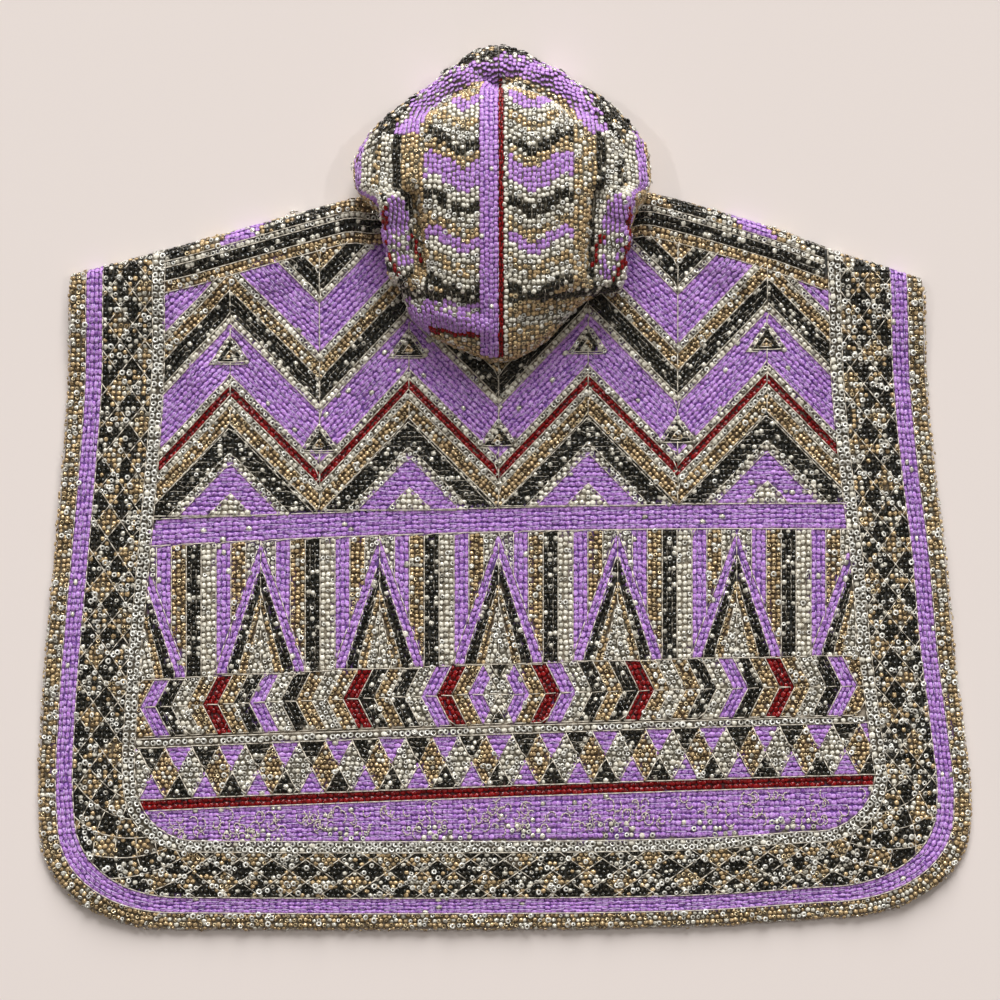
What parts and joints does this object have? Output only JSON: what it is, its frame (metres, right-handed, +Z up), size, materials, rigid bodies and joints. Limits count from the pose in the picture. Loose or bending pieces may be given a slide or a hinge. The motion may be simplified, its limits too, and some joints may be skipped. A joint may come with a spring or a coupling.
{
  "type": "hooded poncho",
  "caption": "Hooded poncho in beaded cloth, laid flat on its front, with round lower corners and a hood that stands full above the shoulders.",
  "frame": {"origin": "middle of the bounding box in X and Y, on the surface that the poncho lies on", "axes": "+X across the shoulders, +Y from the hem towards the top of the hood, +Z up from the surface, out of the back"},
  "size_m": [0.9303, 0.8791, 0.09],
  "materials": {
    "beaded_cloth": "sewn all over with small glass beads and sequins",
    "beaded_hood": "sewn all over with small glass beads and sequins",
    "violet_beads": "rows of small glossy glass beads"
  },
  "bodies": {
    "root": {"back_panel": "beaded_cloth", "front_panel": "beaded_cloth", "hood_left": "beaded_hood", "hood_right": "beaded_hood", "hood_seam_band": "violet_beads"}
  },
  "joints": []
}
